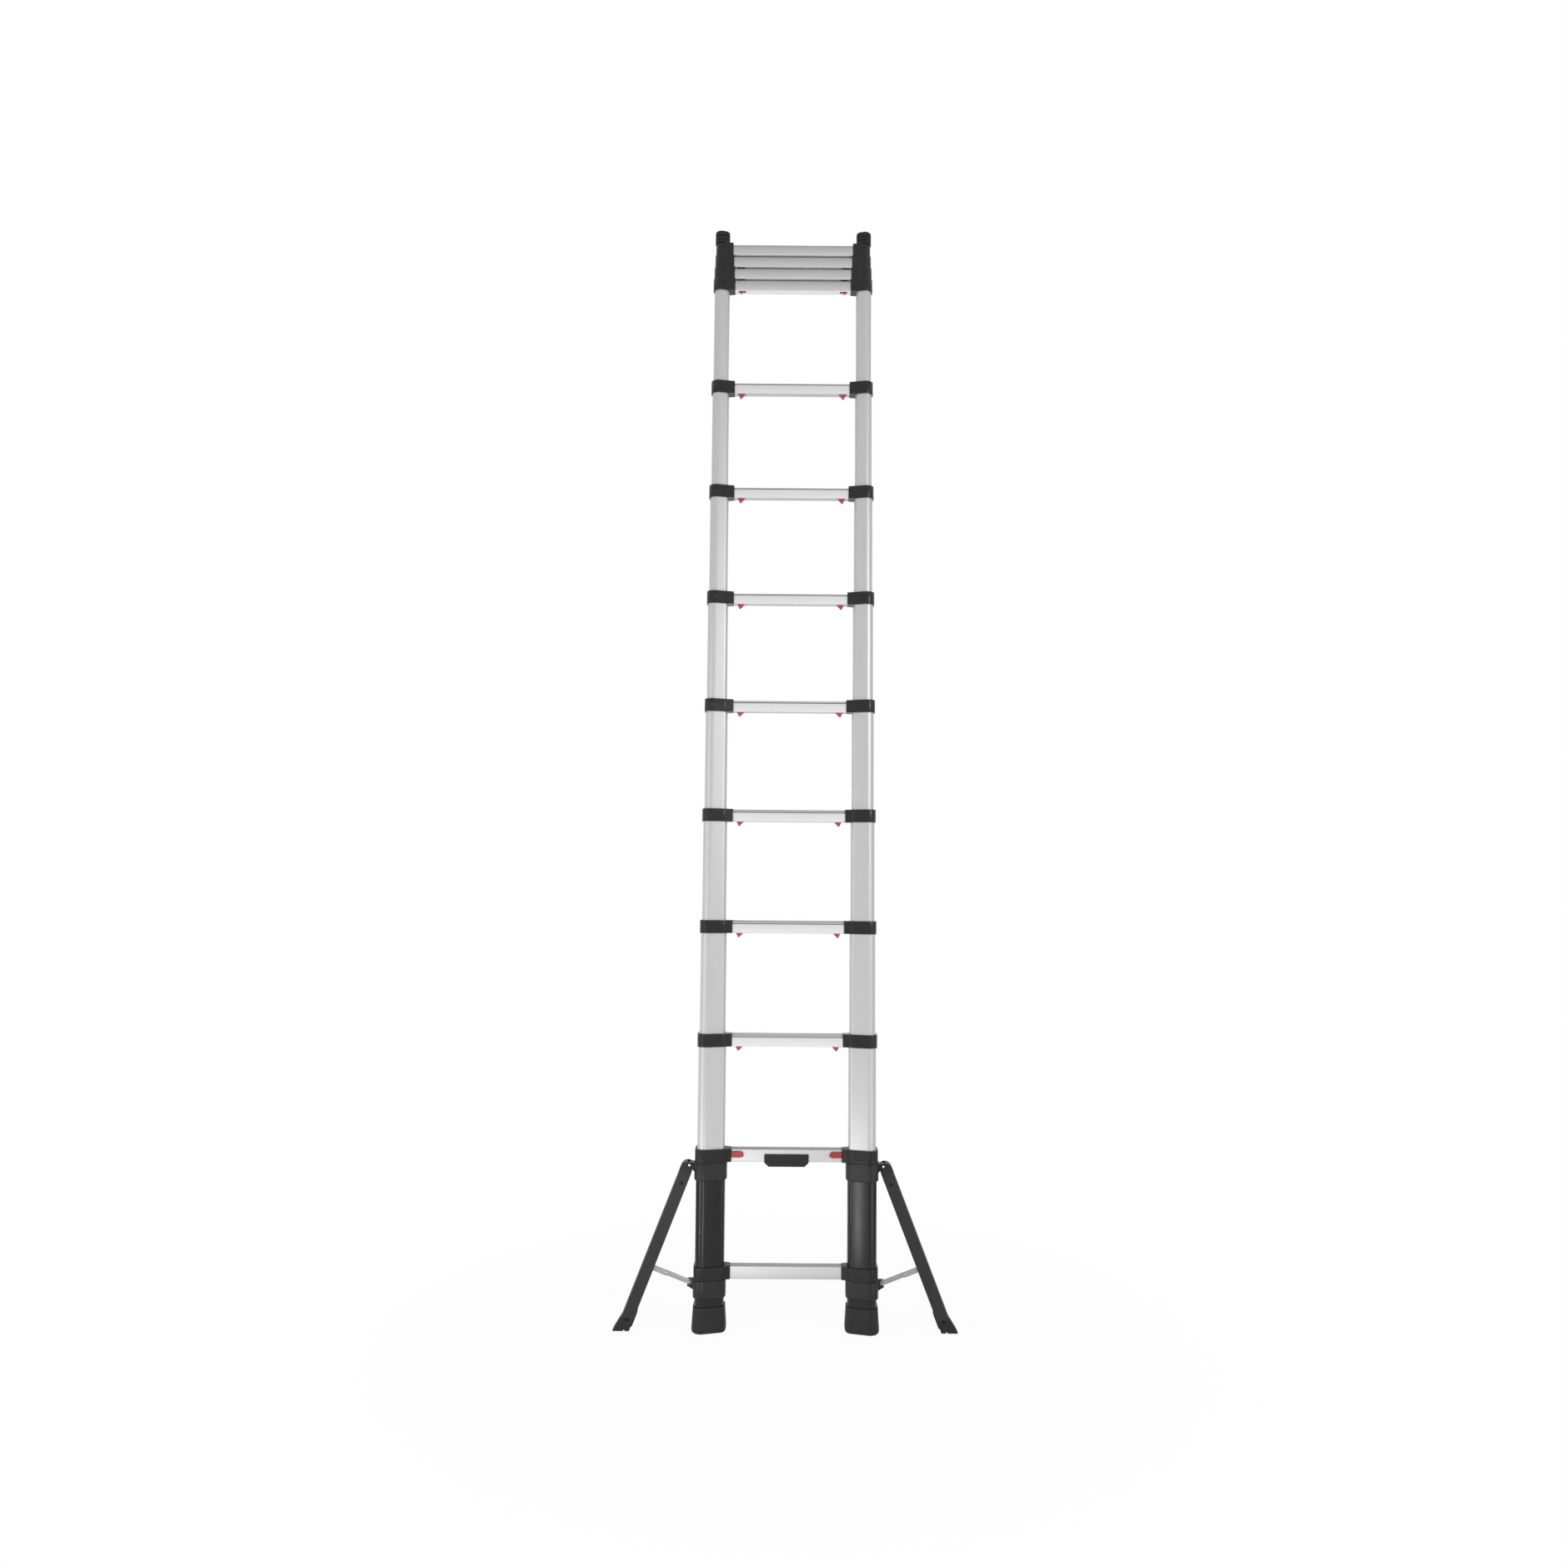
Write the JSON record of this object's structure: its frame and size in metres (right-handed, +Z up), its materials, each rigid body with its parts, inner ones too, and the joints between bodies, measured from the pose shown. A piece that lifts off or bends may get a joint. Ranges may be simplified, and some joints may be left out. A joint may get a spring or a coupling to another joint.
{
  "type": "telescopic ladder",
  "caption": "Telescopic extension ladder with nested aluminium stiles, locking rungs with red unlocking triggers, black moulded knuckles and folding stabiliser legs at its foot.",
  "frame": {"origin": "on the floor, midway between the two stiles and between front and back", "axes": "+X across the ladder to the right, +Y from its front to its back, +Z up along the stiles"},
  "size_m": [0.9012, 0.0856, 3.0072],
  "materials": {
    "aluminium": "satin drawn aluminium",
    "black_tube": "black anodised, semi-gloss",
    "knuckle_plastic": "moulded, fine grain",
    "red_plastic": "moulded, semi-gloss",
    "rubber": "moulded rubber",
    "leg_metal": "dark anodised",
    "stay_steel": "zinc plated",
    "plate_plastic": "moulded"
  },
  "bodies": {
    "base": {"base_stiles": "black_tube", "base_rungs": "aluminium", "base_knuckles": "knuckle_plastic", "ladder_feet": "rubber", "front_plate": "plate_plastic", "stabiliser_collars": "knuckle_plastic"},
    "section_02": {"stiles_02": "aluminium", "rung_02": "aluminium", "knuckles_02": "knuckle_plastic"},
    "triggers_02": {"triggers_02": "red_plastic"},
    "section_03": {"stiles_03": "aluminium", "rung_03": "aluminium", "knuckles_03": "knuckle_plastic"},
    "triggers_03": {"triggers_03": "red_plastic"},
    "section_04": {"stiles_04": "aluminium", "rung_04": "aluminium", "knuckles_04": "knuckle_plastic"},
    "triggers_04": {"triggers_04": "red_plastic"},
    "section_05": {"stiles_05": "aluminium", "rung_05": "aluminium", "knuckles_05": "knuckle_plastic"},
    "triggers_05": {"triggers_05": "red_plastic"},
    "section_06": {"stiles_06": "aluminium", "rung_06": "aluminium", "knuckles_06": "knuckle_plastic"},
    "triggers_06": {"triggers_06": "red_plastic"},
    "section_07": {"stiles_07": "aluminium", "rung_07": "aluminium", "knuckles_07": "knuckle_plastic"},
    "triggers_07": {"triggers_07": "red_plastic"},
    "section_08": {"stiles_08": "aluminium", "rung_08": "aluminium", "knuckles_08": "knuckle_plastic"},
    "triggers_08": {"triggers_08": "red_plastic"},
    "section_09": {"stiles_09": "aluminium", "rung_09": "aluminium", "knuckles_09": "knuckle_plastic"},
    "triggers_09": {"triggers_09": "red_plastic"},
    "section_10": {"stiles_10": "aluminium", "rung_10": "aluminium", "knuckles_10": "knuckle_plastic"},
    "triggers_10": {"triggers_10": "red_plastic"},
    "section_11": {"stiles_11": "aluminium", "rung_11": "aluminium", "knuckles_11": "knuckle_plastic"},
    "triggers_11": {"triggers_11": "red_plastic"},
    "section_12": {"stiles_12": "aluminium", "rung_12": "aluminium", "knuckles_12": "knuckle_plastic", "top_caps": "rubber"},
    "release_button_left": {"release_button_left": "red_plastic"},
    "leg_left": {"leg_left": "leg_metal", "leg_foot_left": "rubber"},
    "stay_long_left": {"stay_long_left": "stay_steel"},
    "stay_short_left": {"stay_short_left": "stay_steel"},
    "release_button_right": {"release_button_right": "red_plastic"},
    "leg_right": {"leg_right": "leg_metal", "leg_foot_right": "rubber"},
    "stay_long_right": {"stay_long_right": "stay_steel"},
    "stay_short_right": {"stay_short_right": "stay_steel"}
  },
  "joints": [
    {"name": "section_02_slide", "type": "slide", "parent": "base", "child": "section_02", "axis": [0, 0, 1], "range_m": [-0.265, 0]},
    {"name": "triggers_02_lift", "type": "slide", "parent": "section_02", "child": "triggers_02", "axis": [0, 0, 1], "range_m": [0, 0.012]},
    {"name": "section_03_slide", "type": "slide", "parent": "section_02", "child": "section_03", "axis": [0, 0, 1], "range_m": [-0.265, 0]},
    {"name": "triggers_03_lift", "type": "slide", "parent": "section_03", "child": "triggers_03", "axis": [0, 0, 1], "range_m": [0, 0.012]},
    {"name": "section_04_slide", "type": "slide", "parent": "section_03", "child": "section_04", "axis": [0, 0, 1], "range_m": [-0.265, 0]},
    {"name": "triggers_04_lift", "type": "slide", "parent": "section_04", "child": "triggers_04", "axis": [0, 0, 1], "range_m": [0, 0.012]},
    {"name": "section_05_slide", "type": "slide", "parent": "section_04", "child": "section_05", "axis": [0, 0, 1], "range_m": [-0.265, 0]},
    {"name": "triggers_05_lift", "type": "slide", "parent": "section_05", "child": "triggers_05", "axis": [0, 0, 1], "range_m": [0, 0.012]},
    {"name": "section_06_slide", "type": "slide", "parent": "section_05", "child": "section_06", "axis": [0, 0, 1], "range_m": [-0.265, 0]},
    {"name": "triggers_06_lift", "type": "slide", "parent": "section_06", "child": "triggers_06", "axis": [0, 0, 1], "range_m": [0, 0.012]},
    {"name": "section_07_slide", "type": "slide", "parent": "section_06", "child": "section_07", "axis": [0, 0, 1], "range_m": [-0.265, 0]},
    {"name": "triggers_07_lift", "type": "slide", "parent": "section_07", "child": "triggers_07", "axis": [0, 0, 1], "range_m": [0, 0.012]},
    {"name": "section_08_slide", "type": "slide", "parent": "section_07", "child": "section_08", "axis": [0, 0, 1], "range_m": [-0.265, 0]},
    {"name": "triggers_08_lift", "type": "slide", "parent": "section_08", "child": "triggers_08", "axis": [0, 0, 1], "range_m": [0, 0.012]},
    {"name": "section_09_slide", "type": "slide", "parent": "section_08", "child": "section_09", "axis": [0, 0, 1], "range_m": [-0.265, 0]},
    {"name": "triggers_09_lift", "type": "slide", "parent": "section_09", "child": "triggers_09", "axis": [0, 0, 1], "range_m": [0, 0.005]},
    {"name": "section_10_slide", "type": "slide", "parent": "section_09", "child": "section_10", "axis": [0, 0, 1], "range_m": [0, 0.265]},
    {"name": "triggers_10_lift", "type": "slide", "parent": "section_10", "child": "triggers_10", "axis": [0, 0, 1], "range_m": [-0.012, 0]},
    {"name": "section_11_slide", "type": "slide", "parent": "section_10", "child": "section_11", "axis": [0, 0, 1], "range_m": [0, 0.265]},
    {"name": "triggers_11_lift", "type": "slide", "parent": "section_11", "child": "triggers_11", "axis": [0, 0, 1], "range_m": [-0.012, 0]},
    {"name": "section_12_slide", "type": "slide", "parent": "section_11", "child": "section_12", "axis": [0, 0, 1], "range_m": [0, 0.265]},
    {"name": "release_button_left_slide", "type": "slide", "parent": "base", "child": "release_button_left", "axis": [1, 0, 0], "range_m": [0, 0.01], "stiffness_N_per_m": 400, "springref_m": -0.005},
    {"name": "leg_left_fold", "type": "hinge", "parent": "base", "child": "leg_left", "pos_m": [-0.2555, 0, 0.4245], "axis": [0, -1, 0], "range_deg": [0, 20]},
    {"name": "stay_long_left_turn", "type": "hinge", "parent": "base", "child": "stay_long_left", "pos_m": [-0.2535, 0, 0.124], "axis": [0, -1, 0], "range_deg": [-61.26, 0]},
    {"name": "stay_short_left_turn", "type": "hinge", "parent": "leg_left", "child": "stay_short_left", "pos_m": [-0.35209, 0, 0.16163], "axis": [0, -1, 0], "range_deg": [0, 98.94]},
    {"name": "release_button_right_slide", "type": "slide", "parent": "base", "child": "release_button_right", "axis": [-1, 0, 0], "range_m": [0, 0.01], "stiffness_N_per_m": 400, "springref_m": -0.005},
    {"name": "leg_right_fold", "type": "hinge", "parent": "base", "child": "leg_right", "pos_m": [0.2555, 0, 0.4245], "axis": [0, 1, 0], "range_deg": [0, 20]},
    {"name": "stay_long_right_turn", "type": "hinge", "parent": "base", "child": "stay_long_right", "pos_m": [0.2535, 0, 0.124], "axis": [0, 1, 0], "range_deg": [-61.26, 0]},
    {"name": "stay_short_right_turn", "type": "hinge", "parent": "leg_right", "child": "stay_short_right", "pos_m": [0.35209, 0, 0.16163], "axis": [0, 1, 0], "range_deg": [0, 98.94]}
  ],
  "couplings": [
    {"joint": "triggers_02_lift", "follows": "section_02_slide", "ratio": -0.045283},
    {"joint": "triggers_03_lift", "follows": "section_03_slide", "ratio": -0.045283},
    {"joint": "triggers_04_lift", "follows": "section_04_slide", "ratio": -0.045283},
    {"joint": "triggers_05_lift", "follows": "section_05_slide", "ratio": -0.045283},
    {"joint": "triggers_06_lift", "follows": "section_06_slide", "ratio": -0.045283},
    {"joint": "triggers_07_lift", "follows": "section_07_slide", "ratio": -0.045283},
    {"joint": "triggers_08_lift", "follows": "section_08_slide", "ratio": -0.045283},
    {"joint": "triggers_09_lift", "follows": "section_09_slide", "ratio": -0.018867},
    {"joint": "triggers_10_lift", "follows": "section_10_slide", "ratio": -0.045283},
    {"joint": "triggers_11_lift", "follows": "section_11_slide", "ratio": -0.045283},
    {"joint": "stay_long_left_turn", "follows": "leg_left_fold", "ratio": -3.0581},
    {"joint": "stay_short_left_turn", "follows": "leg_left_fold", "ratio": 4.9418},
    {"joint": "stay_long_right_turn", "follows": "leg_right_fold", "ratio": -3.0581},
    {"joint": "stay_short_right_turn", "follows": "leg_right_fold", "ratio": 4.9418}
  ]
}
